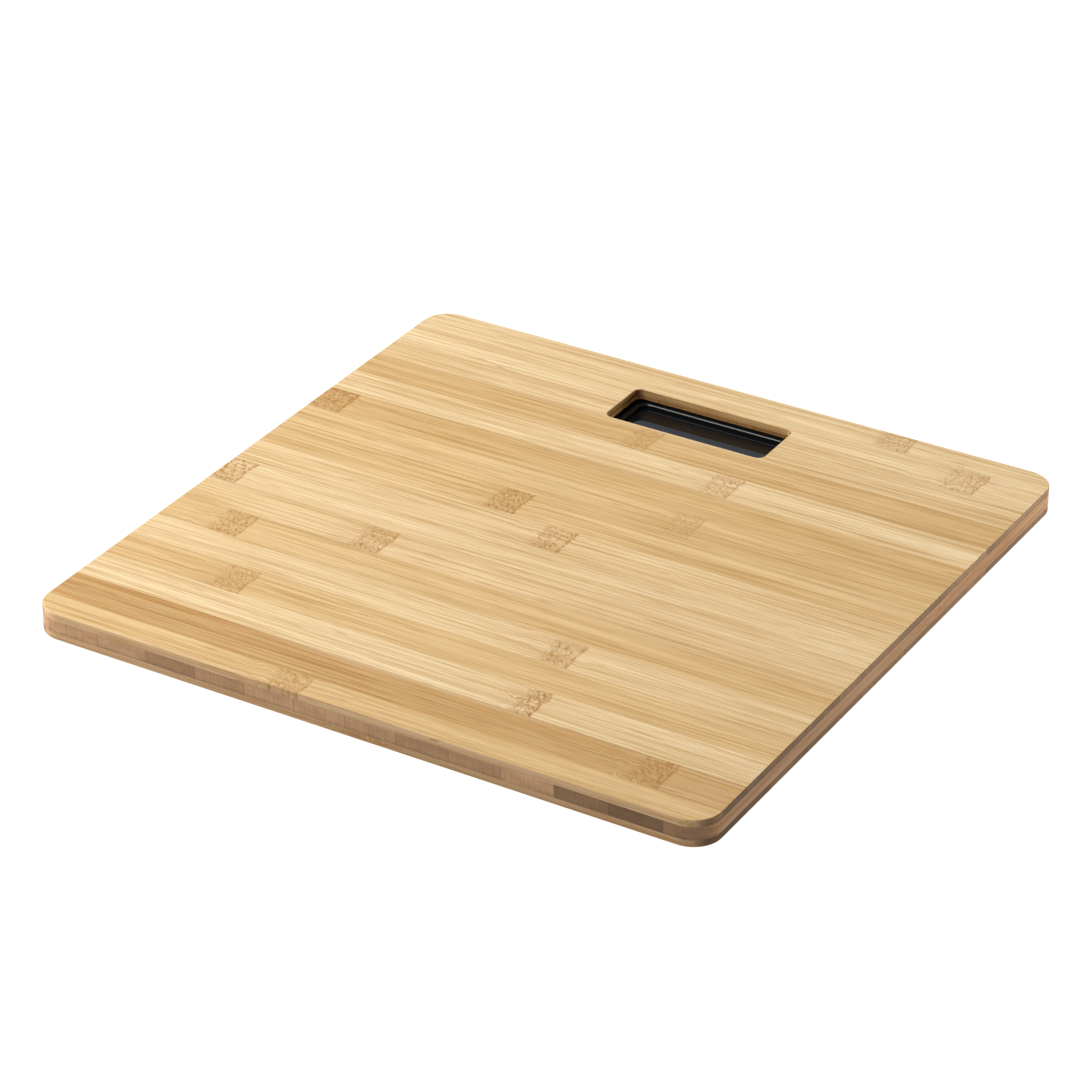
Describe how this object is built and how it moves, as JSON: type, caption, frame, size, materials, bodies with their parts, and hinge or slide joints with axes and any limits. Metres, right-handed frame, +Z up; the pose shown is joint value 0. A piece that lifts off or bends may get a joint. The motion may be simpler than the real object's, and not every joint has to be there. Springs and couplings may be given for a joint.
{
  "type": "digital bathroom scale",
  "caption": "Square bamboo bathroom scale with a recessed black display window near the back edge and round load-cell feet set in from the corners.",
  "frame": {"origin": "on the floor under the middle of the platform, at the bottom centre of the bounding box", "axes": "+Z up, +Y from the front edge towards the display edge, +X to the right of a person facing the display"},
  "size_m": [0.3, 0.3, 0.0221],
  "materials": {
    "bamboo_face": "satin clear varnish over side-pressed caramel bamboo strips",
    "bamboo_core": "satin clear varnish over sanded strip ends",
    "black_abs": "fine moulded texture",
    "grey_button": "fine moulded texture",
    "black_foam": "closed-cell foam",
    "smoked_lens": "polished smoked acrylic",
    "lcd_glass": "polished",
    "light_guide": "clear acrylic on a white film",
    "silicone_strip": "layered silicone",
    "white_component": "moulded nylon",
    "circuit_board": "green solder mask",
    "black_epoxy": "cast epoxy",
    "battery_jacket": "printed film over a steel can",
    "nickel_plate": "nickel-plated spring steel",
    "spring_steel": "bright rolled steel",
    "gauge_potting": "white silicone potting over foil",
    "rubber": "moulded rubber",
    "wire_insulation": "soft extruded PVC",
    "black_tape": "black cloth-backed tape",
    "zinc_steel": "zinc plated"
  },
  "bodies": {
    "platform": {"top_ply": "bamboo_face", "core_ply": "bamboo_core", "bottom_ply": "bamboo_face", "display_gasket": "black_foam", "display_lens": "smoked_lens", "lcd_front_glass": "lcd_glass", "lcd_rear_glass": "lcd_glass", "backlight_guide": "light_guide", "zebra_connector": "silicone_strip", "backlight_leds": "white_component", "display_housing": "black_abs", "main_circuit_board": "circuit_board", "chip_blob": "black_epoxy", "circuit_components": "black_epoxy", "lead_plugs": "white_component", "unit_switch": "black_abs", "electronics_cover": "black_abs", "battery_cell_front": "battery_jacket", "battery_cell_back": "battery_jacket", "battery_springs": "nickel_plate", "battery_contacts": "nickel_plate", "battery_wires": "wire_insulation", "lead_tapes": "black_tape", "foot_screws": "zinc_steel", "cover_screws": "zinc_steel", "circuit_board_screws": "zinc_steel", "foot_housing_front_left": "black_abs", "load_cell_front_left": "spring_steel", "strain_gauge_front_left": "gauge_potting", "sensor_lead_front_left": "wire_insulation", "foot_housing_front_right": "black_abs", "load_cell_front_right": "spring_steel", "strain_gauge_front_right": "gauge_potting", "sensor_lead_front_right": "wire_insulation", "foot_housing_back_left": "black_abs", "load_cell_back_left": "spring_steel", "strain_gauge_back_left": "gauge_potting", "sensor_lead_back_left": "wire_insulation", "foot_housing_back_right": "black_abs", "load_cell_back_right": "spring_steel", "strain_gauge_back_right": "gauge_potting", "sensor_lead_back_right": "wire_insulation"},
    "battery_door": {"battery_door": "black_abs"},
    "unit_button": {"unit_button": "grey_button"},
    "unit_switch_plunger": {"unit_switch_plunger": "white_component"},
    "foot_front_left": {"foot_cap_front_left": "black_abs", "foot_pad_front_left": "rubber"},
    "foot_front_right": {"foot_cap_front_right": "black_abs", "foot_pad_front_right": "rubber"},
    "foot_back_left": {"foot_cap_back_left": "black_abs", "foot_pad_back_left": "rubber"},
    "foot_back_right": {"foot_cap_back_right": "black_abs", "foot_pad_back_right": "rubber"}
  },
  "joints": [
    {"name": "battery_door_slide", "type": "slide", "parent": "platform", "child": "battery_door", "axis": [0, -1, 0], "range_m": [0, 0.03]},
    {"name": "unit_button_press", "type": "slide", "parent": "platform", "child": "unit_button", "axis": [0, 0, 1], "range_m": [0, 0.0003], "stiffness_N_per_m": 400, "springref_m": -0.0005},
    {"name": "unit_switch_press", "type": "slide", "parent": "platform", "child": "unit_switch_plunger", "axis": [0, 0, 1], "range_m": [0, 0.0003]},
    {"name": "foot_front_left_travel", "type": "slide", "parent": "platform", "child": "foot_front_left", "axis": [0, 0, 1], "range_m": [0, 0.0005], "stiffness_N_per_m": 4000, "springref_m": -0.001, "deforming": ["load_cell_front_left"]},
    {"name": "foot_front_right_travel", "type": "slide", "parent": "platform", "child": "foot_front_right", "axis": [0, 0, 1], "range_m": [0, 0.0005], "stiffness_N_per_m": 4000, "springref_m": -0.001, "deforming": ["load_cell_front_right"]},
    {"name": "foot_back_left_travel", "type": "slide", "parent": "platform", "child": "foot_back_left", "axis": [0, 0, 1], "range_m": [0, 0.0005], "stiffness_N_per_m": 4000, "springref_m": -0.001, "deforming": ["load_cell_back_left"]},
    {"name": "foot_back_right_travel", "type": "slide", "parent": "platform", "child": "foot_back_right", "axis": [0, 0, 1], "range_m": [0, 0.0005], "stiffness_N_per_m": 4000, "springref_m": -0.001, "deforming": ["load_cell_back_right"]}
  ],
  "couplings": [
    {"joint": "unit_switch_press", "follows": "unit_button_press", "ratio": 1}
  ]
}
